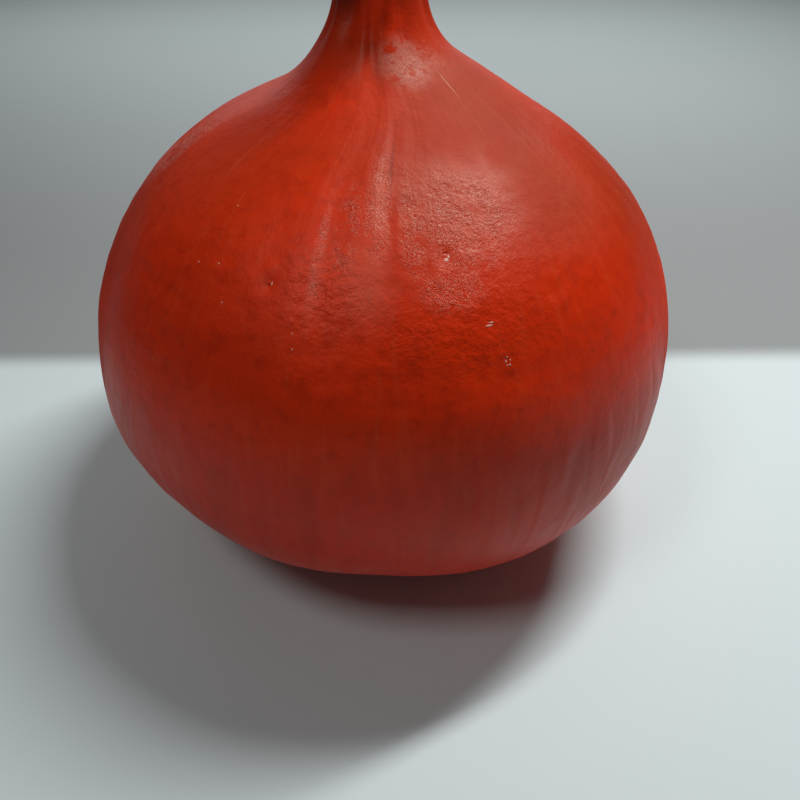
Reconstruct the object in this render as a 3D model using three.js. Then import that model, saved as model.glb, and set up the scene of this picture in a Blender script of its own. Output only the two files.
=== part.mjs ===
// A red kuri squash: an onion-shaped winter squash that stands on its blossom end.
// Millimetres, +Z up. The origin is on the table, under the middle of the squash.
// +X is the fuller side of the belly, and -Y is the side that faces a viewer.

import * as THREE from 'three';

// Body: the belly hangs below the widest section, and the shoulder rises from it to the neck.
const WIDEST_RADIUS = 80;
const WIDEST_HEIGHT = 54.4;
const BELLY_DROP = 37.4; // length of the belly curve's upright handle
const BELLY_TUCK_RADIUS = 40.8; // where its flat handle starts
const REST_OUTER_RADIUS = 16; // the small flat spot that it stands on
const REST_INNER_RADIUS = 8;
const SCAR_DEPTH = 1.2; // the blossom scar, a dimple inside the flat spot

// Shoulder and neck: the outline turns from bulging to hollow at the turn.
const SHOULDER_RISE = 27.3; // length of the shoulder curve's upright handle
const TURN_RADIUS = 40;
const TURN_HEIGHT = 116.5;
const TURN_SLOPE = 0.546; // height gained for each millimetre closer to the axis
const TURN_REACH_OUT = 22.7;
const TURN_REACH_IN = 15.7;
const NECK_RADIUS = 10.4;
const NECK_CURL_HEIGHT = 131.3;
const NECK_TOP = 149;
const NECK_RIM = 1.8; // rounding of its upper edge, where the stem grows out
const NECK_SWING = 2.2; // how far the foot of the neck stands off towards +X
const NECK_SWING_HEIGHT = 124.4;
const NECK_SWING_SPREAD = 6.4;

// The belly isn't quite round. Each of these adds depth * cos(count * (angle - crest)).
const BELLY_LOBES = [
  { count: 1, depth: 1.5, crest: 3 },
  { count: 2, depth: 1.2, crest: -36 },
  { count: 3, depth: 0.6, crest: 34 },
  { count: 5, depth: 1.4, crest: 19 },
];

// Relief that runs from the stem towards the blossom end.
const RIBS = 10;
const RIB_DEPTH = 0.25;
const FLUTES = 5;
const FLUTE_DEPTH = 0.6;

// Stem: the stub of a corky stalk, cut short, with shallow lengthwise furrows and a slanted cut.
const STEM_GAP = 0.3; // between the neck's flat top and the stem
const STEM_LENGTH = 8;
const STEM_BASE_RADIUS = 8.3;
const STEM_WAIST_RADIUS = 7.6;
const STEM_CUT_RADIUS = 7.8;
const STEM_FURROWS = 7;
const STEM_FURROW_DEPTH = 0.3;
const STEM_LEAN = 0.6; // how far the cut end stands off the axis, towards -X
const STEM_CUT_SLOPE = 0.09;
const STEM_EDGE_ROUND = 0.7;

// Fineness of the meshes.
const BODY_SEGMENTS = 72;
const BELLY_STEPS = 16;
const SHOULDER_STEPS = 13;
const NECK_STEPS = 12;
const RIM_STEPS = 3;
const STEM_SEGMENTS = 35;
const STEM_STEPS = 5;

const bell = (value, centre, spread) => Math.exp(-(((value - centre) / spread) ** 2));
const smooth = THREE.MathUtils.smoothstep;

// The belly is one Bezier curve, level where it meets the flat spot and upright at the widest.
function bellyPoints() {
  const belly = new THREE.CubicBezierCurve(
    new THREE.Vector2(REST_OUTER_RADIUS, 0),
    new THREE.Vector2(BELLY_TUCK_RADIUS, 0),
    new THREE.Vector2(WIDEST_RADIUS, WIDEST_HEIGHT - BELLY_DROP),
    new THREE.Vector2(WIDEST_RADIUS, WIDEST_HEIGHT),
  );
  return belly.getSpacedPoints(BELLY_STEPS);
}

// The shoulder and the neck are two more, which share a slope at the turn. A quarter round ends them.
function shoulderPoints() {
  const shoulder = new THREE.CubicBezierCurve(
    new THREE.Vector2(WIDEST_RADIUS, WIDEST_HEIGHT),
    new THREE.Vector2(WIDEST_RADIUS, WIDEST_HEIGHT + SHOULDER_RISE),
    new THREE.Vector2(TURN_RADIUS + TURN_REACH_OUT, TURN_HEIGHT - TURN_REACH_OUT * TURN_SLOPE),
    new THREE.Vector2(TURN_RADIUS, TURN_HEIGHT),
  );
  const neck = new THREE.CubicBezierCurve(
    new THREE.Vector2(TURN_RADIUS, TURN_HEIGHT),
    new THREE.Vector2(TURN_RADIUS - TURN_REACH_IN, TURN_HEIGHT + TURN_REACH_IN * TURN_SLOPE),
    new THREE.Vector2(NECK_RADIUS, NECK_CURL_HEIGHT),
    new THREE.Vector2(NECK_RADIUS, NECK_TOP - NECK_RIM),
  );
  const rim = new THREE.Path();
  rim.absarc(NECK_RADIUS - NECK_RIM, NECK_TOP - NECK_RIM, NECK_RIM, 0, Math.PI / 2);
  return [
    ...shoulder.getSpacedPoints(SHOULDER_STEPS).slice(1),
    ...neck.getSpacedPoints(NECK_STEPS).slice(1),
    ...rim.getPoints(RIM_STEPS).slice(1),
  ];
}

// Turns an outline about +Z, then moves each point by shape(point, angle, radius).
function turned(outline, segments, shape) {
  const geometry = new THREE.LatheGeometry(outline, segments);
  geometry.rotateX(Math.PI / 2);
  const position = geometry.getAttribute('position');
  const point = new THREE.Vector3();
  for (let index = 0; index < position.count; index++) {
    const segment = Math.floor(index / outline.length) % segments;
    const ring = index % outline.length;
    const angle = (segment / segments) * 2 * Math.PI;
    const radius = outline[ring].x;
    point.set(radius * Math.cos(angle), radius * Math.sin(angle), outline[ring].y);
    shape(point, angle, radius);
    position.setXYZ(index, point.x, point.y, point.z);
  }
  geometry.computeVertexNormals();
  return geometry;
}

// Moves a point away from the axis by the given distance.
function pushOut(point, radius, distance) {
  point.x *= 1 + distance / radius;
  point.y *= 1 + distance / radius;
}

function bellyLobe(angle, height) {
  const down = THREE.MathUtils.clamp(1 - height / WIDEST_HEIGHT, 0, 1);
  const strength = 6.75 * down * down * (1 - down); // 1 at its strongest
  const lobes = BELLY_LOBES.map(({ count, depth, crest }) =>
    depth * Math.cos(count * (angle - THREE.MathUtils.degToRad(crest))));
  return strength * lobes.reduce((sum, lobe) => sum + lobe, 0);
}

function shapeFruit(point, angle, radius) {
  if (radius === 0) return;
  const height = point.z;
  const lobe = bellyLobe(angle, height) * radius / WIDEST_RADIUS;
  const rib = RIB_DEPTH * smooth(radius, REST_OUTER_RADIUS, WIDEST_RADIUS) * Math.cos(RIBS * angle);
  const flute = FLUTE_DEPTH * smooth(height, TURN_HEIGHT, NECK_CURL_HEIGHT) * Math.cos(FLUTES * angle);
  pushOut(point, radius, lobe + rib + flute);
  point.x += NECK_SWING * bell(height, NECK_SWING_HEIGHT, NECK_SWING_SPREAD);
}

function makeFruit() {
  const outline = [
    new THREE.Vector2(0, SCAR_DEPTH),
    new THREE.Vector2(REST_INNER_RADIUS / 2, SCAR_DEPTH * 0.75),
    new THREE.Vector2(REST_INNER_RADIUS, 0),
    ...bellyPoints(),
    ...shoulderPoints(),
    new THREE.Vector2(0, NECK_TOP),
  ];
  return turned(outline, BODY_SEGMENTS, shapeFruit);
}

function shapeStem(point, angle, radius) {
  const foot = NECK_TOP + STEM_GAP;
  const up = (point.z - foot) / STEM_LENGTH;
  if (radius > 0) pushOut(point, radius, STEM_FURROW_DEPTH * Math.cos(STEM_FURROWS * angle));
  point.z += STEM_CUT_SLOPE * point.x * smooth(up, 0.5, 1);
  point.x -= STEM_LEAN * up * up;
}

function makeStem() {
  const foot = NECK_TOP + STEM_GAP;
  const tip = foot + STEM_LENGTH;
  const side = new THREE.SplineCurve([
    new THREE.Vector2(STEM_BASE_RADIUS, foot + STEM_EDGE_ROUND),
    new THREE.Vector2(STEM_WAIST_RADIUS, foot + STEM_LENGTH * 0.55),
    new THREE.Vector2(STEM_CUT_RADIUS, tip - STEM_EDGE_ROUND),
  ]);
  const outline = [
    new THREE.Vector2(0, foot),
    new THREE.Vector2(STEM_BASE_RADIUS - STEM_EDGE_ROUND, foot),
    ...side.getPoints(STEM_STEPS),
    new THREE.Vector2(STEM_CUT_RADIUS - STEM_EDGE_ROUND, tip),
    new THREE.Vector2(0, tip),
  ];
  return turned(outline, STEM_SEGMENTS, shapeStem);
}

const skin = new THREE.MeshStandardMaterial({ color: 0xa32a16, roughness: 0.45, metalness: 0 });
const cork = new THREE.MeshStandardMaterial({ color: 0xa98c62, roughness: 0.85, metalness: 0 });

const fruit = new THREE.Mesh(makeFruit(), skin);
fruit.name = 'fruit';

const stem = new THREE.Mesh(makeStem(), cork);
stem.name = 'stem';

const squash = new THREE.Group();
squash.add(fruit, stem);

// The lobes and the ribs shift the box a little, so the group is set back over the origin.
const middle = new THREE.Box3().setFromObject(squash).getCenter(new THREE.Vector3());
squash.position.set(-middle.x, -middle.y, 0);

export default squash;
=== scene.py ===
"""A red kuri squash: a waxy red-orange fruit with a fluted neck and a corky stem, on a pale floor."""

import math

import bmesh
import bpy
from bpy.props import FloatProperty, FloatVectorProperty, IntProperty, PointerProperty
from mathutils import Matrix, Vector, geometry, noise


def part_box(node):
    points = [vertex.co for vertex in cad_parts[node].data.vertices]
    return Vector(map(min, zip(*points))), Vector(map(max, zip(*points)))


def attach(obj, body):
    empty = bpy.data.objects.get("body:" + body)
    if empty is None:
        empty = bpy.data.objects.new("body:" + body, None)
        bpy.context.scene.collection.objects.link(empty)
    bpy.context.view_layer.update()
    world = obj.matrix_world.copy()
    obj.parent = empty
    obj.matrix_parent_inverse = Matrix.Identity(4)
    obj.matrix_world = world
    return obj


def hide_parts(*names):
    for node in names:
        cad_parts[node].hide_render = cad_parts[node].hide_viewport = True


bl_info = {
    "name": "Red Kuri Squash",
    "version": (1, 0, 0),
    "blender": (4, 5, 0),
    "location": "View3D > Sidebar > Squash",
    "description": "Builds a red kuri squash around its packed frame",
    "category": "Add Mesh",
}

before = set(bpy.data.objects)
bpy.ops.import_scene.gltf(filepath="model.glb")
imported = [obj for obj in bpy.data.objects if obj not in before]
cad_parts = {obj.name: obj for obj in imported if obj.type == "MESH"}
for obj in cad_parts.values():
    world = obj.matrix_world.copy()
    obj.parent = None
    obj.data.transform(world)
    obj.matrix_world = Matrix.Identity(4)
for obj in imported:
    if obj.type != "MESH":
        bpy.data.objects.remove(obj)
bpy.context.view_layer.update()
FRUIT_LOW, FRUIT_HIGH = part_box("fruit")
STEM_LOW, STEM_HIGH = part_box("stem")
ROOT_BODY = "root"
MM = 0.001

# Bearings are degrees round the squash: 0 faces the viewer (-Y) and 90 is the fuller side (+X).
# Every height, depth and width in the tables below is in millimetres.

# The belly isn't quite round: (how many crests, depth, bearing of one crest).
BELLY_LOBES = ((1, 1.5, 93), (2, 1.2, 54), (3, 0.6, 124), (5, 1.4, 109))

# Broad swellings and, with a minus, hollows: (bearing, height, half-width, half-height, rise).
SWELLINGS = (
    (17, 97, 22, 8.5, 1.4),
    (20, 113, 16, 5, -0.4),
    (4, 82, 36, 10, 0.6),
    (26, 127, 14, 5, -0.3),
    (-4.5, 110, 3.4, 18, 0.35),
    (-10.5, 105, 3.2, 16, -0.2),
    (-17, 105, 3.6, 15, 0.4),
    (78, 95, 18, 18, 0.7),
    (118, 104, 18, 14, -0.5),
    (163, 92, 20, 18, 0.8),
    (-160, 107, 14, 12, -0.4),
    (-118, 98, 18, 16, 0.7),
    (-72, 88, 18, 20, -0.5),
)

# Grooves, and with a minus ridges, up the neck: (bearing, depth, half-width in degrees, lower end).
NECK_GROOVES = (
    (-8.5, 0.55, 6, 118),
    (5, -0.8, 13, 124),
    (-18, -0.3, 6, 126),
    (-38, 2.2, 14, 129),
    (-74, 0.9, 10, 126),
    (-112, 1.1, 12, 129),
    (-158, 1.0, 9, 125),
    (68, 0.9, 11, 128),
    (104, 1.2, 10, 126),
    (148, 0.8, 11, 130),
)

# Fine creases along the ribs: (bearing, lowest height, highest height, depth, half-width).
CREASES = (
    (2.0, 99, 127, 0.13, 0.9),
    (-12.5, 92, 122, 0.1, 1.3),
    (-33, 88, 118, 0.07, 1.2),
    (41, 84, 119, 0.07, 1.2),
    (76, 90, 121, 0.16, 1.0),
    (112, 78, 124, 0.18, 0.9),
    (150, 92, 120, 0.14, 1.2),
    (-172, 86, 123, 0.2, 0.9),
    (-136, 90, 118, 0.12, 1.2),
    (-98, 84, 122, 0.18, 0.9),
    (-66, 96, 120, 0.1, 1.2),
)

# Small dents and healed knocks: (bearing, height, radius, depth).
DENTS = (
    (13.4, 106, 1.5, 0.28),
    (18.6, 95.6, 2.0, 0.2),
    (21.0, 89, 1.3, 0.2),
    (-22.6, 101.4, 1.5, 0.25),
    (2.5, 102, 1.4, 0.15),
    (-6.5, 96.5, 1.4, 0.16),
    (34, 97, 1.8, 0.16),
    (58, 82, 2.0, 0.2),
    (124, 88, 2.2, 0.25),
    (171, 70, 1.8, 0.2),
    (-140, 94, 2.4, 0.25),
    (-95, 74, 1.6, 0.2),
)

# Marks in the skin, each with one row for each place: (bearing, height, half-width, half-height).
# Where the grain is open, the wax is rubbed off and the skin sparkles through its bumps and its shine, and
# through painted pale grains. The ridge sheen is a painted highlight. The painted light patches lighten the
# colour and the painted shade patches darken it, the dull and matte patches take off the shine, and the
# neck's painted shade darkens its hollow.
# Painted shade: dark red laid along the central crease, where its groove is in shade.
CREASE_PAINTED_SHADE = (1.9, 118.5, 0.8, 11)
# A rougher, grainier patch at the foot of the neck. Its pale pink is a painted highlight.
NECK_GRAZE_AND_HIGHLIGHT = (17, 133.0, 7, 7.5)
NECK_SCRATCH = (41, 128.4, 0.3, 5.5)
# Painted shade: near-black red on the neck's left side, over its deepest hollow.
NECK_PAINTED_SHADE = (-58, 145.5, 11, 9)
OPEN_GRAIN = (
    (18, 110, 12, 17),
    (26, 111, 7, 12),
    (13, 101, 9, 6),
    (-1, 113, 4, 18),
    (7, 110, 4, 16),
    (-8, 110, 3.5, 14),
    (-13.4, 106, 1.8, 13),
    (130, 108, 14, 12),
    (-150, 104, 16, 14),
    (-85, 110, 8, 16),
)
# Painted highlight: pale pink bands along ridges where the lamps' sheen runs down them.
RIDGE_PAINTED_SHEEN = (
    (-13.4, 104, 2.2, 17),
    (-1, 113, 2.6, 16),
    (-2.5, 103, 7, 15),
    (133, 104, 3, 16),
    (-92, 106, 3, 18),
)
WRINKLED = ((16, 95, 30, 16), (-10, 102, 14, 16), (140, 90, 24, 14), (-125, 94, 26, 14))
# Painted light: brighter pigment that lifts the left shoulder and the belly's front, as if more light fell
# there.
PAINTED_LIGHT_PATCHES = (
    (-16, 106, 28, 30),
    (-30, 129, 26, 19),
    (2, 142, 14, 16),
    (2, 91, 34, 17),
    (15, 85, 30, 15),
    (-175, 86, 40, 20),
    (98, 66, 30, 22),
)
# Painted shade: darker pigment on the right shoulder, where the key lamp falls strongest, and a few patches
# round the back.
PAINTED_SHADE_PATCHES = (
    (76, 102, 36, 36),
    (52, 110, 26, 26),
    (50, 126, 30, 18),
    (-132, 108, 26, 22),
    (178, 108, 22, 20),
)
DULL_PATCHES = (
    (38, 124, 34, 20),
    (50, 110, 18, 24),
    (43, 118, 10, 10),
    (-64, 112, 22, 24),
    (-150, 118, 26, 16),
)
MATTE_PATCHES = ((-80, 66, 30, 46), (80, 66, 30, 46), (170, 56, 40, 34))
# Painted shade: deeper red on the flanks and the right shoulder, toning them down where the lamps fall
# brightly.
DEEPER_PAINTED_SHADE_PATCHES = (
    (-80, 96, 30, 30),
    (84, 98, 34, 34),
    (60, 120, 22, 18),
    (72, 128, 14, 12),
    (-128, 76, 24, 30),
)
# Partly pale specks in the skin, partly painted glints: painted highlights at the edges of little dents.
PALE_FLECKS_AND_GLINTS = (
    (13.3, 105.7, 0.6, 0.5),
    (13.9, 106.1, 0.3, 0.45),
    (18.6, 95.2, 1.0, 0.25),
    (19.1, 95.6, 0.6, 0.2),
    (20.6, 88.9, 0.25, 0.4),
    (21.2, 88.2, 0.35, 0.25),
    (21.4, 89.0, 0.2, 0.3),
    (20.9, 89.6, 0.25, 0.2),
    (20.7, 88.2, 0.2, 0.25),
    (-21.9, 101.6, 0.22, 0.6),
    (-40.3, 101.2, 0.25, 0.25),
    (-38.3, 110.6, 0.25, 0.2),
    (-35.2, 102.1, 0.2, 0.3),
    (-31.2, 96.7, 0.25, 0.25),
    (-15.8, 94.7, 0.2, 0.2),
    (-15.4, 92.2, 0.2, 0.25),
)
# Little pits, with painted shade: dark red inside the little dents, where shade falls.
PITS_PAINTED_SHADE = (
    (-22.6, 101.2, 0.6, 0.7),
    (13.6, 106.6, 0.9, 0.4),
    (20.8, 89.3, 0.7, 0.3),
    (57, 126.0, 0.3, 0.25),
    (18.6, 95.9, 0.5, 0.25),
)


# Sizes in millimetres.
BELLY_RADIUS = 80  # of the widest section
GROOVE_FADE = 14  # how much height a neck groove takes to reach its full depth
NECK_SWING = 2.2  # how far the foot of the neck stands off towards +X
RIBS, RIB_DEPTH = 10, 0.25  # the faint ribs that run up the belly
COLLAR = 0.7  # how far the cork reaches down over the neck's rim
STEM_SEGMENTS = 200  # how many steps the stem has round its axis
POLE_GAP = 0.001  # more than the rounding that a full spin leaves between the points at a pole
NOISE_SEED = 5

# The stage, in metres and degrees.
FLOOR_HALF_WIDTH = 3
ROOM_BRIGHTNESS = 0.04
LAMPS_AIM = Vector((0, 0, 0.05))
CAMERA_PLACE = (0, -0.1911, 0.1807)
CAMERA_PITCH, CAMERA_ROLL, CAMERA_ANGLE = 39, -0.5, 55
CAMERA_SHIFT = 0.0208

# Sockets of a colour Mix node, whose names repeat for each kind of data.
MIX_FACTOR, MIX_BASE, MIX_LAYER, MIX_RESULT = 0, 6, 7, 2


def srgb(code, alpha=1.0):
    """Turns an sRGB hex colour into the linear colour that Blender works with."""
    channels = [int(code[i : i + 2], 16) / 255 for i in (1, 3, 5)]
    linear = [c / 12.92 if c <= 0.04045 else ((c + 0.055) / 1.055) ** 2.4 for c in channels]
    return (*linear, alpha)


def bell(value, centre, spread):
    return math.exp(-(((value - centre) / spread) ** 2))


def ease(value, low, high):
    """0 below low, 1 above high and smooth between them."""
    t = min(max((value - low) / (high - low), 0.0), 1.0)
    return t * t * (3 - 2 * t)


def turn_between(bearing, other):
    """The smaller angle between two bearings, in degrees, with its sign."""
    return (bearing - other + 180) % 360 - 180


# ------------------------------------------------------------------ settings


class SquashSizes(bpy.types.PropertyGroup):
    """Driving sizes of the fruit and the stem, in metres"""

    widest_radius: FloatProperty(
        name="Widest radius",
        description="Radius of the belly at its widest section",
        default=BELLY_RADIUS * MM,
        unit="LENGTH",
    )
    widest_height: FloatProperty(
        name="Widest height",
        description="Height of the widest section above the floor",
        default=0.0544,
        unit="LENGTH",
    )
    rest_radius: FloatProperty(
        name="Resting spot",
        description="Radius of the small flat spot that the squash stands on",
        default=0.016,
        unit="LENGTH",
    )
    neck_radius: FloatProperty(
        name="Neck radius",
        description="Radius of the neck where it meets the stem",
        default=0.0104,
        unit="LENGTH",
    )
    neck_top: FloatProperty(
        name="Neck height",
        description="Height of the neck's upper end",
        default=FRUIT_HIGH.z,
        unit="LENGTH",
    )
    stem_radius: FloatProperty(
        name="Stem radius",
        description="Radius of the stem at its foot",
        default=0.0083,
        unit="LENGTH",
    )
    stem_top: FloatProperty(
        name="Stem height",
        description="Height of the highest point of the stem's cut end",
        default=STEM_HIGH.z,
        unit="LENGTH",
    )
    rings: IntProperty(
        name="Rings",
        description="How many steps each long curve of the fruit's outline has",
        default=84,
    )
    segments: IntProperty(
        name="Segments",
        description="How many steps the fruit has round its axis",
        default=352,
    )


class SquashColours(bpy.types.PropertyGroup):
    """Colours of the squash"""

    # Part of this skin's lead in brightness over the upper and lower skins is painted light, lifting the
    # belly's middle.
    skin: FloatVectorProperty(
        name="Skin",
        description="Ripe skin round the upper belly, where it caught the most sun",
        subtype="COLOR",
        size=4,
        default=srgb("#DE2F00"),
        min=0,
        max=1,
    )
    # Partly the shoulder's own browner tone, partly painted shade that tones down the top, where the lamps
    # fall strongest.
    upper_skin_and_painted_shade: FloatVectorProperty(
        name="Upper skin",
        description="Browner skin of the shoulder and the neck",
        subtype="COLOR",
        size=4,
        default=srgb("#BE2D04"),
        min=0,
        max=1,
    )
    skin_low: FloatVectorProperty(
        name="Lower skin",
        description="Deeper skin under the widest section",
        subtype="COLOR",
        size=4,
        default=srgb("#CC2500"),
        min=0,
        max=1,
    )
    skin_pale: FloatVectorProperty(
        name="Pale skin",
        description="Worn streaks where the skin is thinner and paler",
        subtype="COLOR",
        size=4,
        default=srgb("#DC6038"),
        min=0,
        max=1,
    )
    cork: FloatVectorProperty(
        name="Cork",
        description="Dry bark of the stem",
        subtype="COLOR",
        size=4,
        default=srgb("#B0946A"),
        min=0,
        max=1,
    )
    floor: FloatVectorProperty(
        name="Floor",
        description="Pale floor under the squash",
        subtype="COLOR",
        size=4,
        default=srgb("#DDEAEB"),
        min=0,
        max=1,
    )


# ------------------------------------------------------------------ making


def add(tree, kind, inputs=None, **settings):
    """Adds a node. inputs holds its sockets' values, or the outputs that are linked to them."""
    node = tree.nodes.new(kind)
    for name, value in settings.items():
        setattr(node, name, value)
    for socket, value in (inputs or {}).items():
        if isinstance(value, bpy.types.NodeSocket):
            tree.links.new(value, node.inputs[socket])
        else:
            node.inputs[socket].default_value = value
    return node


def new_material(name):
    material = bpy.data.materials.new(name)
    material.use_nodes = True
    tree = material.node_tree
    tree.nodes.clear()
    output = add(tree, "ShaderNodeOutputMaterial")
    shader = add(tree, "ShaderNodeBsdfPrincipled")
    tree.links.new(shader.outputs["BSDF"], output.inputs["Surface"])
    return material, tree, shader


def turned_mesh(outline, segments):
    """A closed bmesh from an outline in the XZ plane, turned once about the axis."""
    bm = bmesh.new()
    points = [bm.verts.new((radius, 0, height)) for radius, height in outline]
    edges = [bm.edges.new(pair) for pair in zip(points, points[1:])]
    bmesh.ops.spin(
        bm,
        geom=points + edges,
        cent=(0, 0, 0),
        axis=(0, 0, 1),
        dvec=(0, 0, 0),
        angle=2 * math.pi,
        steps=segments,
        use_merge=True,
        use_duplicate=False,
    )
    bmesh.ops.remove_doubles(bm, verts=bm.verts, dist=POLE_GAP)
    bmesh.ops.recalc_face_normals(bm, faces=bm.faces)
    return bm


def add_piece(name, bm, material):
    """Makes the finished object, with its place in its mesh and smooth faces."""
    for face in bm.faces:
        face.smooth = True
    mesh = bpy.data.meshes.new(name)
    bm.to_mesh(mesh)
    bm.free()
    mesh.materials.append(material)
    piece = bpy.data.objects.new(name, mesh)
    bpy.context.scene.collection.objects.link(piece)
    return piece


def stretch(knots, steps):
    """Points along one Bezier curve, given as its two ends and the handles between them."""
    start, handle_out, handle_in, end = [Vector((*knot, 0)) for knot in knots]
    curve = geometry.interpolate_bezier(start, handle_out, handle_in, end, steps + 1)
    return [(point.x, point.y) for point in curve][1:]


# ------------------------------------------------------------------ fruit


def fruit_outline(sizes):
    """Radius and height, in millimetres, from the blossom scar up to the middle of the neck's top."""
    wide = sizes.widest_radius / MM
    high = sizes.widest_height / MM
    rest = sizes.rest_radius / MM
    neck = sizes.neck_radius / MM
    top = sizes.neck_top / MM
    scar_depth, scar_radius = 1.2, 0.5 * rest
    turn_rise, curl_rise = 62.1, 76.9
    turn_radius, turn_height, turn_slope = 0.5 * wide, high + turn_rise, 0.546
    reach_out, reach_in = 22.7, 15.7
    tucked, belly_drop, shoulder_rise = 40.8, 37.4, 27.3
    curl_height = high + curl_rise
    rim = 1.8
    round_handle = 0.448 * rim
    belly = ((rest, 0), (tucked, 0), (wide, high - belly_drop), (wide, high))
    shoulder = (
        (wide, high),
        (wide, high + shoulder_rise),
        (turn_radius + reach_out, turn_height - reach_out * turn_slope),
        (turn_radius, turn_height),
    )
    foot_of_neck = (
        (turn_radius, turn_height),
        (turn_radius - reach_in, turn_height + reach_in * turn_slope),
        (neck, curl_height),
        (neck, top - rim),
    )
    scar = ((0, scar_depth), (0.6 * scar_radius, scar_depth), (0.8 * scar_radius, 0), (scar_radius, 0))
    edge = ((neck, top - rim), (neck, top - round_handle), (neck - round_handle, top), (neck - rim, top))
    return [
        (0, scar_depth),
        *stretch(scar, 10),
        *stretch(((scar_radius, 0), (scar_radius + 2, 0), (rest - 2, 0), (rest, 0)), 6),
        *stretch(belly, sizes.rings),
        *stretch(shoulder, sizes.rings),
        *stretch(foot_of_neck, round(0.7 * sizes.rings)),
        *stretch(edge, 5),
        (0.5 * neck, top),
        (0, top),
    ]


def along_outline(outline, height):
    """The body's radius at a height, and how far the skin runs there for each millimetre of height."""
    for (radius, low), (next_radius, high) in zip(outline, outline[1:]):
        if low <= height < high:
            part = (height - low) / (high - low)
            run = math.hypot(next_radius - radius, high - low) / (high - low)
            return radius + part * (next_radius - radius), run
    raise ValueError(f"the outline has no height of {height} mm")


def belly_lobes(bearing, height, widest_height):
    down = min(max(1 - height / widest_height, 0.0), 1.0)
    strength = 6.75 * down * down * (1 - down)  # 1 at its strongest
    lobes = (d * math.cos(n * math.radians(bearing - crest)) for n, d, crest in BELLY_LOBES)
    return strength * sum(lobes)


def neck_relief(bearing, height):
    depth = 0.0
    for crest, groove, width, start in NECK_GROOVES:
        cut = groove * bell(turn_between(bearing, crest), 0, width)
        depth -= cut * ease(height, start, start + GROOVE_FADE)
    return depth


def swelling_relief(bearing, height, radius):
    rise = 0.0
    for way, level, half_width, half_height, swell in SWELLINGS:
        across = math.radians(turn_between(bearing, way)) * radius
        rise += swell * bell(across, 0, half_width) * bell(height, level, half_height)
    return rise


def crease_relief(bearing, height, radius):
    depth = 0.0
    for way, low, high, groove, width in CREASES:
        wander = 1.1 * noise.noise(Vector((way, 0, height / 9)))
        off = math.radians(turn_between(bearing, way)) * radius - wander
        if abs(off) > 4 * width:
            continue
        broken = 0.6 + 0.8 * noise.noise(Vector((way, 5, height / 6)))
        fade = ease(height, low, low + 10) * (1 - ease(height, high - 6, high))
        shoulders = 0.5 * bell(abs(off), 2.0 * width, width)
        depth -= groove * fade * broken * (bell(off, 0, width) - shoulders)
    return depth


def dent_relief(bearing, height, radius):
    depth = 0.0
    for way, level, size, hollow in DENTS:
        across = math.radians(turn_between(bearing, way)) * radius
        distance = math.hypot(across, 1.2 * (height - level))
        if distance < 3 * size:
            depth -= hollow * (bell(distance, 0, size) - 0.35 * bell(distance, 1.7 * size, 0.6 * size))
    return depth


def body_relief(point, bearing, height, radius):
    """Lumps, streaks, wrinkles and soft flutes of the body, in millimetres along the normal. Each noise
    has its own scale or offset, so that no two of them line up."""
    around = Vector((math.sin(math.radians(bearing)), math.cos(math.radians(bearing)), 0))
    on_body = ease(radius, 9, 30)
    lumps = 0.28 * noise.noise(point / 26) + 0.12 * noise.noise(point / 10 + Vector((7, 3, 1)))
    wavy = around + 0.03 * noise.noise_vector(point / 12)
    high_band = ease(height, 86, 102)
    streaks = 0.05 * high_band * noise.noise(wavy * 30 + Vector((0, 0, height / 14)))
    low_band = ease(height, 16, 36) * (1 - ease(height, 66, 90))
    patchy = 0.3 + 0.7 * ease(noise.noise(around * 1.6 + Vector((1, 1, height / 50))), -0.25, 0.2)
    flutes = 0.16 * noise.noise(wavy * 13 + Vector((5, 2, height / 40)))
    flutes += 0.12 * noise.noise(wavy * 27 + Vector((2, 6, height / 16)))
    across = Vector((around.x * 7, around.y * 7, height / 2.4))
    wrinkle_band = ease(height, 74, 84) * (1 - ease(height, 102, 114))
    wrinkles = 0.1 * wrinkle_band * noise.noise(across)
    pebbles = 0.05 * noise.noise(point / 3.2)
    return on_body * (lumps + streaks + low_band * patchy * flutes + wrinkles + pebbles)


def scar_relief(bearing, radius, rest):
    """Puckers that run into the blossom scar. They only ever cut in, so the flat spot stays level."""
    band = ease(radius, 1.5, 5) * (1 - ease(radius, 0.75 * rest, rest))
    puckers = 0.5 + 0.5 * math.cos(math.radians(11 * bearing)) * noise.noise(Vector((bearing / 40, 0, 0)))
    return -0.25 * band * puckers


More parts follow.
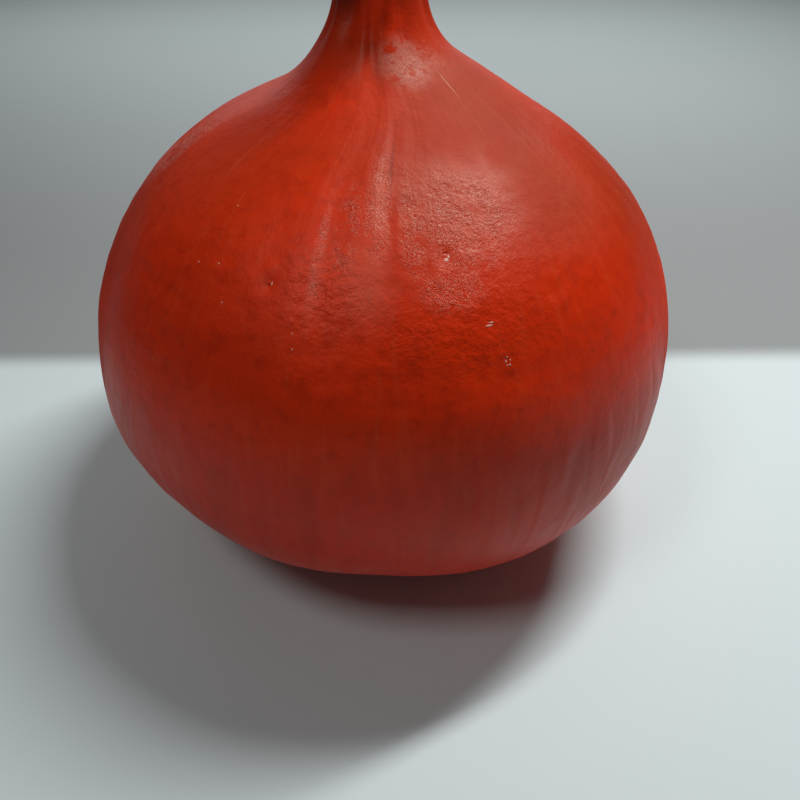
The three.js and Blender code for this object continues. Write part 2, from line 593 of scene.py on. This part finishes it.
def shape_fruit(bm, sizes):
    """Moves the turned mesh into the grown shape and stores where each point lies along the ribs."""
    way = bm.verts.layers.float_vector.new("rib_way")
    noise.seed_set(NOISE_SEED)  # otherwise the clock sets noise_vector, and each run differs a little
    swing_height, swing_spread = sizes.widest_height / MM + 70, 6.4
    wide, high, rest = (size / MM for size in (sizes.widest_radius, sizes.widest_height, sizes.rest_radius))
    bm.normal_update()
    moved = []
    for vert in bm.verts:
        point = vert.co.copy()
        radius = math.hypot(point.x, point.y)
        height = point.z
        bearing = math.degrees(math.atan2(point.x, -point.y)) if radius > 0 else 0.0
        outward = Vector((point.x, point.y, 0)) / max(radius, 1e-9)
        sideways = belly_lobes(bearing, height, high) * radius / wide
        sideways += RIB_DEPTH * ease(radius, rest, wide) * math.cos(math.radians(RIBS * (bearing - 90)))
        sideways += neck_relief(bearing, height)
        relief = swelling_relief(bearing, height, radius) + crease_relief(bearing, height, radius)
        relief += dent_relief(bearing, height, radius) + body_relief(point, bearing, height, radius)
        # The sideways push fades out at the axis, and the relief at the floor, so the flat spot stays flat.
        point += outward * sideways * ease(radius, 0, 4)
        point += vert.normal * relief * ease(height, 0, 6)
        if height < 3:
            point.z -= scar_relief(bearing, radius, rest)
        point.x += NECK_SWING * bell(height, swing_height, swing_spread)
        vert[way] = (outward.x, outward.y, height * MM)
        moved.append(point)
    for vert, point in zip(bm.verts, moved):
        vert.co = point * MM


def fit_between(bm, axis, low, high):
    """Slides and stretches a mesh along one axis, so that it runs from low to high."""
    values = [vert.co[axis] for vert in bm.verts]
    start = min(values)
    factor = (high - low) / (max(values) - start)
    for vert in bm.verts:
        vert.co[axis] = low + (vert.co[axis] - start) * factor


def patches(tree, place, size, low, high, detail=3):
    """A mask of soft patches, about size millimetres across. It rises from low to high noise."""
    inputs = {"Vector": place, "Scale": 1 / (size * MM), "Detail": detail, "Roughness": 0.6}
    cloud = add(tree, "ShaderNodeTexNoise", inputs).outputs["Fac"]
    limits = {"Value": cloud, "From Min": low, "From Max": high}
    return add(tree, "ShaderNodeMapRange", limits, interpolation_type="SMOOTHSTEP").outputs["Result"]


def drawn_out(tree, way, width, length, detail=1):
    """Noise drawn out over the skin: width is in millimetres round the belly, length up the side."""
    around = BELLY_RADIUS / width
    scale = {0: way, 1: (around, around, 1 / (length * MM))}
    stretched = add(tree, "ShaderNodeVectorMath", scale, operation="MULTIPLY").outputs[0]
    inputs = {"Vector": stretched, "Scale": 1, "Detail": detail, "Roughness": 0.5, "Distortion": 0.6}
    return add(tree, "ShaderNodeTexNoise", inputs).outputs["Fac"]


def marked(tree, way, outline, marks, soft=1.0):
    """A mask that is 1 in the middle of each mark and 0 past its edge. soft is how much of it is edge."""
    mask = 0.0
    for bearing, height, across, up in marks:
        radius, run = along_outline(outline, height)
        turn = math.radians(bearing)
        centre = (math.sin(turn), -math.cos(turn), height * MM)
        scale = (radius / across, radius / across, run / (up * MM))
        away = add(tree, "ShaderNodeVectorMath", {0: way, 1: centre}, operation="SUBTRACT").outputs[0]
        scaled = add(tree, "ShaderNodeVectorMath", {0: away, 1: scale}, operation="MULTIPLY").outputs[0]
        distance = add(tree, "ShaderNodeVectorMath", {0: scaled}, operation="LENGTH").outputs["Value"]
        limits = {"Value": distance, "From Min": 1 - soft, "From Max": 1, "To Min": 1, "To Max": 0}
        inside = add(tree, "ShaderNodeMapRange", limits, interpolation_type="SMOOTHSTEP").outputs["Result"]
        mask = add(tree, "ShaderNodeMath", {0: mask, 1: inside}, operation="MAXIMUM").outputs[0]
    return mask


def pores(tree, place):
    """Scattered pale pores, about 0.4 mm across, in one cell in three of about 7 mm."""
    cell, pore_edge, pore_middle, empty_cells = 7, 0.035, 0.02, 0.66
    cells = add(tree, "ShaderNodeTexVoronoi", {"Vector": place, "Scale": 1 / (cell * MM)})
    near = {"Value": cells.outputs["Distance"], "From Min": pore_edge, "From Max": pore_middle}
    spot = add(tree, "ShaderNodeMapRange", near, interpolation_type="SMOOTHSTEP").outputs["Result"]
    number = add(tree, "ShaderNodeSeparateColor", {"Color": cells.outputs["Color"]}).outputs[0]
    chosen = add(tree, "ShaderNodeMath", {0: number, 1: empty_cells}, operation="GREATER_THAN").outputs[0]
    return add(tree, "ShaderNodeMath", {0: spot, 1: chosen}, operation="MULTIPLY").outputs[0]


def waxy_skin(colours, outline):
    """Ripe squash skin under its own wax: dense red-orange pigment with patches of painted light and
    painted shade, a satin shine that breaks up into sparkles where the fine grain is open, helped by
    painted pale grains, faint streaks, a painted highlight along some ridges, painted shade in the neck's
    hollow, along the central furrow and in little dents, and a grazed patch on the neck whose pale pink is
    a painted highlight."""
    material, tree, shader = new_material("waxy squash skin")
    place = add(tree, "ShaderNodeTexCoord").outputs["Object"]
    way = add(tree, "ShaderNodeAttribute", attribute_name="rib_way").outputs["Vector"]
    height = add(tree, "ShaderNodeSeparateXYZ", {"Vector": way}).outputs["Z"]

    rising = {"Value": height, "From Min": 94 * MM, "From Max": 120 * MM}
    upper = add(tree, "ShaderNodeMapRange", rising, interpolation_type="SMOOTHSTEP").outputs["Result"]
    falling = {"Value": height, "From Min": 78 * MM, "From Max": 62 * MM}
    lower = add(tree, "ShaderNodeMapRange", falling, interpolation_type="SMOOTHSTEP").outputs["Result"]
    streaks = drawn_out(tree, way, 2.2, 16)
    pale = {"Value": streaks, "From Min": 0.52, "From Max": 0.8}
    worn = add(tree, "ShaderNodeMapRange", pale, interpolation_type="SMOOTHSTEP").outputs["Result"]
    smears = drawn_out(tree, way, 8, 34)
    deep = {"Value": smears, "From Min": 0.5, "From Max": 0.3}
    smeared = add(tree, "ShaderNodeMapRange", deep, interpolation_type="SMOOTHSTEP").outputs["Result"]
    smeared = add(tree, "ShaderNodeMath", {0: smeared, 1: lower}, operation="MULTIPLY").outputs[0]
    clouds = patches(tree, place, 17, 0.38, 0.66)
    blots = patches(tree, place, 3.6, 0.48, 0.7)
    painted_light = marked(tree, way, outline, PAINTED_LIGHT_PATCHES)
    painted_shade = marked(tree, way, outline, PAINTED_SHADE_PATCHES)
    deeper_painted_shade = marked(tree, way, outline, DEEPER_PAINTED_SHADE_PATCHES)
    ridges = marked(tree, way, outline, RIDGE_PAINTED_SHEEN)
    painted_neck_shade = marked(tree, way, outline, (NECK_PAINTED_SHADE,))
    painted_crease_shade = marked(tree, way, outline, (CREASE_PAINTED_SHADE,))
    scratch = marked(tree, way, outline, (NECK_SCRATCH,))
    # The patch at the foot of the neck, broken into small torn patches. Its pale pink is a painted
    # highlight.
    graze_and_highlight = marked(tree, way, outline, (NECK_GRAZE_AND_HIGHLIGHT,), soft=0.7)
    torn = patches(tree, place, 2.2, 0.34, 0.52)
    graze_and_highlight = add(tree, "ShaderNodeMath", {0: graze_and_highlight, 1: torn}, operation="MULTIPLY").outputs[0]
    spots = pores(tree, place)
    chipped = patches(tree, place, 0.3, 0.24, 0.4, detail=1)
    flecks_and_glints = marked(tree, way, outline, PALE_FLECKS_AND_GLINTS, soft=0.6)
    flecks_and_glints = add(tree, "ShaderNodeMath", {0: flecks_and_glints, 1: chipped}, operation="MULTIPLY").outputs[0]
    pits_and_painted_shade = marked(tree, way, outline, PITS_PAINTED_SHADE)
    middle = add(tree, "ShaderNodeVectorMath", {0: place}, operation="LENGTH").outputs["Value"]
    edge = {"Value": middle, "From Min": 8 * MM, "From Max": 5.5 * MM}
    scar = add(tree, "ShaderNodeMapRange", edge, interpolation_type="SMOOTHSTEP").outputs["Result"]
    # The wax is rubbed in places: there the grain of the skin, about 0.3 mm, is open and sparkles.
    ragged = patches(tree, place, 4.5, 0.36, 0.5)
    opened = marked(tree, way, outline, OPEN_GRAIN, soft=0.7)
    rubbed = add(tree, "ShaderNodeMath", {0: ragged, 1: opened}, operation="MULTIPLY").outputs[0]
    grain = patches(tree, place, 0.3, 0.46, 0.6, detail=1)
    # Pale grains on the open grain are painted sparkle: painted highlights standing for glints off the
    # grain.
    painted_sparkle_dots = add(tree, "ShaderNodeMath", {0: rubbed, 1: grain}, operation="MULTIPLY").outputs[0]

    # Each layer of pigment lies over the one before: (where it lies, how much it covers, its colour).
    layers = (
        # darker towards the top: partly the skin's own tone, partly painted shade
        (upper, 1.0, colours.upper_skin_and_painted_shade),
        (lower, 1.0, colours.skin_low),
        # painted light
        (painted_light, 0.75, srgb("#F23404")),
        # painted shade
        (painted_shade, 0.65, srgb("#A23204")),
        # deeper painted shade
        (deeper_painted_shade, 0.42, srgb("#8A2002")),
        (clouds, 0.25, srgb("#B52304")),
        (blots, 0.38, srgb("#B02004")),
        (worn, 0.12, colours.skin_pale),
        # painted highlight along ridges
        (ridges, 0.42, srgb("#DC6650")),
        (smeared, 0.3, srgb("#A41A04")),
        # painted shade in the neck's hollow
        (painted_neck_shade, 0.9, srgb("#380A03")),
        # painted shade along the central crease
        (painted_crease_shade, 0.65, srgb("#921702")),
        # painted sparkle on the open grain
        (painted_sparkle_dots, 0.23, srgb("#EDB8A4")),
        # painted highlight on the rough patch at the foot of the neck
        (graze_and_highlight, 0.5, srgb("#DC9482")),
        (scratch, 0.6, srgb("#E09A80")),
        (spots, 0.3, srgb("#D98A5C")),
        # painted shade in the little dents
        (pits_and_painted_shade, 0.4, srgb("#6E1804")),
        # pale specks and painted glints
        (flecks_and_glints, 0.85, srgb("#EBC4AC")),
        (scar, 0.9, srgb("#84623C")),
    )
    pigment = colours.skin
    for mask, cover, colour in layers:
        share = add(tree, "ShaderNodeMapRange", {"Value": mask, "To Max": cover}).outputs["Result"]
        inputs = {MIX_FACTOR: share, MIX_BASE: pigment, MIX_LAYER: colour}
        pigment = add(tree, "ShaderNodeMix", inputs, data_type="RGBA").outputs[MIX_RESULT]
    tree.links.new(pigment, shader.inputs["Base Color"])

    dulled = marked(tree, way, outline, DULL_PATCHES, soft=0.7)
    matte = marked(tree, way, outline, MATTE_PATCHES, soft=0.7)
    wrinkled = marked(tree, way, outline, WRINKLED, soft=0.8)
    # Each relief adds to the one before: (its height, its depth in millimetres, where it lies,
    # its strength elsewhere, its strength there).
    reliefs = (
        (grain, 0.06, rubbed, 0.1, 0.8),
        (patches(tree, place, 0.8, 0.2, 0.8), 0.12, rubbed, 0.15, 0.5),
        (patches(tree, place, 1.8, 0.2, 0.8), 0.25, wrinkled, 0.1, 0.55),
        (patches(tree, place, 4, 0.2, 0.8), 0.4, rubbed, 0.2, 0.4),
        (drawn_out(tree, way, 5, 1.2, detail=2), 0.4, wrinkled, 0.0, 0.15),
        (drawn_out(tree, way, 1.6, 0.7, detail=2), 0.2, graze_and_highlight, 0.0, 0.7),
        (streaks, 0.4, rubbed, 0.04, 0.3),
        (smears, 2.0, lower, 0.0, 0.5),
        (spots, 0.1, 1.0, 0.0, 0.5),
        (flecks_and_glints, 0.15, 1.0, 0.0, 0.6),
        (pits_and_painted_shade, -0.2, 1.0, 0.0, 0.6),
        (blots, 0.5, scar, 0.0, 0.6),
    )
    normal = None
    for relief, depth, mask, least, most in reliefs:
        limits = {"Value": mask, "To Min": least, "To Max": most}
        strength = add(tree, "ShaderNodeMapRange", limits).outputs["Result"]
        inputs = {"Height": relief, "Distance": abs(depth) * MM, "Strength": strength}
        if normal:
            inputs["Normal"] = normal
        normal = add(tree, "ShaderNodeBump", inputs, invert=depth < 0).outputs["Normal"]
    tree.links.new(normal, shader.inputs["Normal"])

    roughness = 0.43
    # Each place has its own roughness, laid over the ones before it.
    for mask, there in ((matte, 0.9), (dulled, 0.66), (rubbed, 0.36), (graze_and_highlight, 0.4), (scar, 0.85)):
        limits = {"Value": mask, "To Min": roughness, "To Max": there}
        roughness = add(tree, "ShaderNodeMapRange", limits).outputs["Result"]
    tree.links.new(roughness, shader.inputs["Roughness"])
    shader.inputs["IOR"].default_value = 1.34
    shader.inputs["Specular Tint"].default_value = srgb("#FFFFE4")  # the wax yellows what it mirrors
    return material


class SQUASH_OT_fruit(bpy.types.Operator):
    """Builds the fruit: belly, shoulder, neck and blossom scar with waxy skin"""

    bl_idname = "squash.fruit"
    bl_label = "Fruit"

    def execute(self, context):
        sizes = context.scene.squash_sizes
        outline = fruit_outline(sizes)
        bm = turned_mesh(outline, sizes.segments)
        shape_fruit(bm, sizes)
        bm.normal_update()
        for axis in range(3):
            fit_between(bm, axis, FRUIT_LOW[axis], FRUIT_HIGH[axis])
        piece = add_piece("fruit_skin", bm, waxy_skin(context.scene.squash_colours, outline))
        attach(piece, ROOT_BODY)
        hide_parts("fruit")
        return {"FINISHED"}


# ------------------------------------------------------------------ stem


def stem_outline(sizes):
    """Radius and height, in millimetres, from the collar on the neck up to the middle of the cut end."""
    foot = STEM_LOW.z / MM - COLLAR
    tip = sizes.stem_top / MM
    radius = sizes.stem_radius / MM
    flare, waist, cut = 1.1 * radius, 0.91 * radius, 0.94 * radius
    round_edge = 0.7
    collar = ((flare - 0.6, foot), (flare, foot), (flare, foot + 0.8), (radius, foot + 1.5))
    side = ((radius, foot + 1.5), (waist, foot + 3.2), (waist, tip - 3), (cut, tip - round_edge))
    edge = ((cut, tip - round_edge), (cut, tip - 0.3), (cut - 0.3, tip), (cut - round_edge, tip))
    return [
        (0, foot),
        (0.5 * radius, foot),
        (flare - 0.6, foot),
        *stretch(collar, 10),
        *stretch(side, 26),
        *stretch(edge, 6),
        *stretch(((cut - round_edge, tip), (5, tip), (2.5, tip), (0, tip)), 22),
    ]


def shape_stem(bm, sizes):
    foot = STEM_LOW.z / MM - COLLAR
    tip = sizes.stem_top / MM
    lean, slope = 0.6, 0.09
    for vert in bm.verts:
        point = vert.co.copy()
        radius = math.hypot(point.x, point.y)
        up = (point.z - foot) / (tip - foot)
        bearing = math.degrees(math.atan2(point.x, -point.y)) if radius > 0 else 0.0
        around = Vector((math.sin(math.radians(bearing)), math.cos(math.radians(bearing)), 0))
        outward = Vector((point.x, point.y, 0)) / max(radius, 1e-9)
        furrow = 0.0
        for way, depth, width, _ in NECK_GROOVES:
            furrow -= 0.4 * depth * bell(turn_between(bearing, way), 0, width)
        furrow += 0.4 * noise.noise(around * 2.6 + Vector((0, 0, up)))
        fibre = 0.22 * noise.noise(around * 9 + Vector((0, 0, point.z / 8)))
        fibre += 0.14 * noise.noise(around * 22 + Vector((0, 4, point.z / 4)))
        crack = abs(noise.noise(around * 6 + Vector((9, 0, point.z / 12))))
        fibre -= 0.4 * (1 - ease(crack, 0, 0.1))
        ragged = 0.5 * noise.noise(around * 5 + Vector((1, 0, 0))) * (1 - ease(up, 0.05, 0.2))
        knots = 0.3 * noise.noise(point / 2.5)
        point += outward * ease(radius, 3, 7) * (furrow + fibre + ragged + knots)
        grown_rings = 0.1 * math.cos(radius * 3) + 0.2 * noise.noise(point / 1.2)
        hollow = 0.7 * bell(radius, 0, 1.8)
        point.z += ease(up, 0.96, 1) * (grown_rings * ease(radius, 0.5, 2) - hollow)
        point.z += slope * point.x * ease(up, 0.5, 1)
        point.x -= lean * up * up
        vert.co = point * MM


def corky_bark(colours):
    """Dry squash stem: light tan cork, darker in its furrows and paler on its broken fibres, partly the
    cork's own colour and partly painted shade and painted highlight.
    """
    material, tree, shader = new_material("corky stem bark")
    place = add(tree, "ShaderNodeTexCoord").outputs["Object"]
    # Fibres about 1.1 mm wide and 5.6 mm long.
    along = add(tree, "ShaderNodeMapping", {"Vector": place, "Scale": (900, 900, 180)}).outputs[0]
    fibre = add(tree, "ShaderNodeTexNoise", {"Vector": along, "Scale": 1, "Detail": 5, "Roughness": 0.7})
    # Low fibres are darker, partly the cork's own furrows and partly painted shade. High fibres are paler,
    # partly broken fibres and partly painted highlight.
    furrows = {"Value": fibre.outputs["Fac"], "From Min": 0.52, "From Max": 0.36}
    dark = add(tree, "ShaderNodeMapRange", furrows, interpolation_type="SMOOTHSTEP").outputs["Result"]
    broken = {"Value": fibre.outputs["Fac"], "From Min": 0.58, "From Max": 0.76}
    pale = add(tree, "ShaderNodeMapRange", broken, interpolation_type="SMOOTHSTEP").outputs["Result"]
    green = patches(tree, place, 5, 0.45, 0.7)
    cork = colours.cork
    for mask, cover, colour in ((green, 0.6, "#8F7A4C"), (dark, 0.85, "#5E4527"), (pale, 0.8, "#D9C59C")):
        share = add(tree, "ShaderNodeMapRange", {"Value": mask, "To Max": cover}).outputs["Result"]
        inputs = {MIX_FACTOR: share, MIX_BASE: cork, MIX_LAYER: srgb(colour)}
        cork = add(tree, "ShaderNodeMix", inputs, data_type="RGBA").outputs[MIX_RESULT]
    tree.links.new(cork, shader.inputs["Base Color"])
    relief = {"Height": fibre.outputs["Fac"], "Strength": 0.7, "Distance": 0.3 * MM}
    tree.links.new(add(tree, "ShaderNodeBump", relief).outputs["Normal"], shader.inputs["Normal"])
    shader.inputs["Roughness"].default_value = 0.85
    return material


class SQUASH_OT_stem(bpy.types.Operator):
    """Builds the dry corky stem with its furrows and its cut end"""

    bl_idname = "squash.stem"
    bl_label = "Stem"

    def execute(self, context):
        sizes = context.scene.squash_sizes
        bm = turned_mesh(stem_outline(sizes), STEM_SEGMENTS)
        shape_stem(bm, sizes)
        middle = (STEM_LOW + STEM_HIGH) / 2
        bmesh.ops.translate(bm, vec=Vector((middle.x, middle.y, 0)), verts=bm.verts)
        fit_between(bm, 2, STEM_LOW.z - COLLAR * MM, STEM_HIGH.z)
        piece = add_piece("stem_bark", bm, corky_bark(context.scene.squash_colours))
        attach(piece, ROOT_BODY)
        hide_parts("stem")
        return {"FINISHED"}


# ------------------------------------------------------------------ stage


def pale_floor(colours):
    """Matte backdrop paper: pale under the squash, then a grey band behind it that is painted shade,
    standing in for a dimly lit wall, and pale again far back, which is painted light.
    """
    material, tree, shader = new_material("graded backdrop paper")
    place = add(tree, "ShaderNodeTexCoord").outputs["Object"]
    depth = add(tree, "ShaderNodeSeparateXYZ", {"Vector": place}).outputs["Y"]
    # Each shade takes over from the one before: (where it starts, where it is full, its colour).
    shade = colours.floor
    # The grey band is painted shade and the pale far back is painted light.
    for start, full, colour in ((0.052, 0.066, srgb("#989C9C")), (0.12, 0.6, colours.floor)):
        limits = {"Value": depth, "From Min": start, "From Max": full}
        amount = add(tree, "ShaderNodeMapRange", limits, interpolation_type="SMOOTHSTEP").outputs["Result"]
        inputs = {MIX_FACTOR: amount, MIX_BASE: shade, MIX_LAYER: colour}
        shade = add(tree, "ShaderNodeMix", inputs, data_type="RGBA").outputs[MIX_RESULT]
    tree.links.new(shade, shader.inputs["Base Color"])
    shader.inputs["Roughness"].default_value = 0.7
    return material


def make_floor(colours):
    bm = bmesh.new()
    bmesh.ops.create_grid(bm, x_segments=1, y_segments=1, size=FLOOR_HALF_WIDTH)
    floor = add_piece("floor", bm, pale_floor(colours))


def make_room():
    """The dim room round the lamps."""
    world = bpy.data.worlds.new("dim room")
    world.use_nodes = True
    background = world.node_tree.nodes["Background"]
    background.inputs["Color"].default_value = (1, 1, 1, 1)
    background.inputs["Strength"].default_value = ROOM_BRIGHTNESS
    bpy.context.scene.world = world


def add_lamp(name, place, long_way, size, power):
    """A flat soft lamp that faces the squash, with its first side along long_way."""
    lamp = bpy.data.lights.new(name, "AREA")
    lamp.shape = "RECTANGLE"
    lamp.size, lamp.size_y = size
    lamp.energy = power
    place = Vector(place)
    back = (place - LAMPS_AIM).normalized()
    along = Vector(long_way)
    along = (along - back * along.dot(back)).normalized()
    turn = Matrix((along, back.cross(along), back)).transposed()
    light = bpy.data.objects.new(name, lamp)
    light.matrix_world = Matrix.Translation(place) @ turn.to_4x4()
    light.visible_camera = False
    bpy.context.scene.collection.objects.link(light)


def make_lights():
    """A long key lamp behind the squash's right shoulder, a softer fill from the front left and a dim
    broad light low behind."""
    add_lamp("key_light", (0.226, 0.139, 0.562), (0.713, 0.277, -0.644), (0.32, 0.045), 2.9)
    add_lamp("fill_light", (-0.237, -0.251, 0.609), (1, 0, 0), (0.15, 0.15), 0.65)
    add_lamp("back_light", (0, 0.75, 0.32), (1, 0, 0), (0.9, 0.25), 0.85)


def make_camera():
    """Looks down at the squash from the front, close by."""
    data = bpy.data.cameras.new("camera")
    data.sensor_width = 36
    data.angle = math.radians(CAMERA_ANGLE)
    data.shift_x = CAMERA_SHIFT
    data.clip_start = 0.01
    camera = bpy.data.objects.new("camera", data)
    pitch, roll = math.radians(CAMERA_PITCH), math.radians(CAMERA_ROLL)
    turn = Matrix.Rotation(math.pi / 2 - pitch, 4, "X") @ Matrix.Rotation(roll, 4, "Z")
    camera.matrix_world = Matrix.Translation(CAMERA_PLACE) @ turn
    bpy.context.scene.collection.objects.link(camera)
    bpy.context.scene.camera = camera


class SQUASH_OT_stage(bpy.types.Operator):
    """Adds the pale floor, the soft light and the camera"""

    bl_idname = "squash.stage"
    bl_label = "Stage"

    def execute(self, context):
        make_floor(context.scene.squash_colours)
        make_room()
        make_lights()
        make_camera()
        context.scene.view_settings.view_transform = "Standard"
        return {"FINISHED"}


class SQUASH_PT_panel(bpy.types.Panel):
    """Lists the squash's sizes, colours and pieces"""

    bl_idname = "SQUASH_PT_panel"
    bl_label = "Red Kuri Squash"
    bl_space_type = "VIEW_3D"
    bl_region_type = "UI"
    bl_category = "Squash"

    def draw(self, context):
        for group in (context.scene.squash_sizes, context.scene.squash_colours):
            for name in group.__annotations__:
                self.layout.prop(group, name)
        for operator in PIECES:
            self.layout.operator(operator.bl_idname)


PIECES = (SQUASH_OT_fruit, SQUASH_OT_stem, SQUASH_OT_stage)
CLASSES = (SquashSizes, SquashColours, *PIECES, SQUASH_PT_panel)


def register():
    for cls in CLASSES:
        bpy.utils.register_class(cls)
    bpy.types.Scene.squash_sizes = PointerProperty(type=SquashSizes)
    bpy.types.Scene.squash_colours = PointerProperty(type=SquashColours)


def unregister():
    del bpy.types.Scene.squash_colours
    del bpy.types.Scene.squash_sizes
    for cls in reversed(CLASSES):
        bpy.utils.unregister_class(cls)


def main():
    register()
    bpy.ops.squash.fruit()
    bpy.ops.squash.stem()
    bpy.ops.squash.stage()
    bpy.context.view_layer.update()


if __name__ == "__main__":
    main()
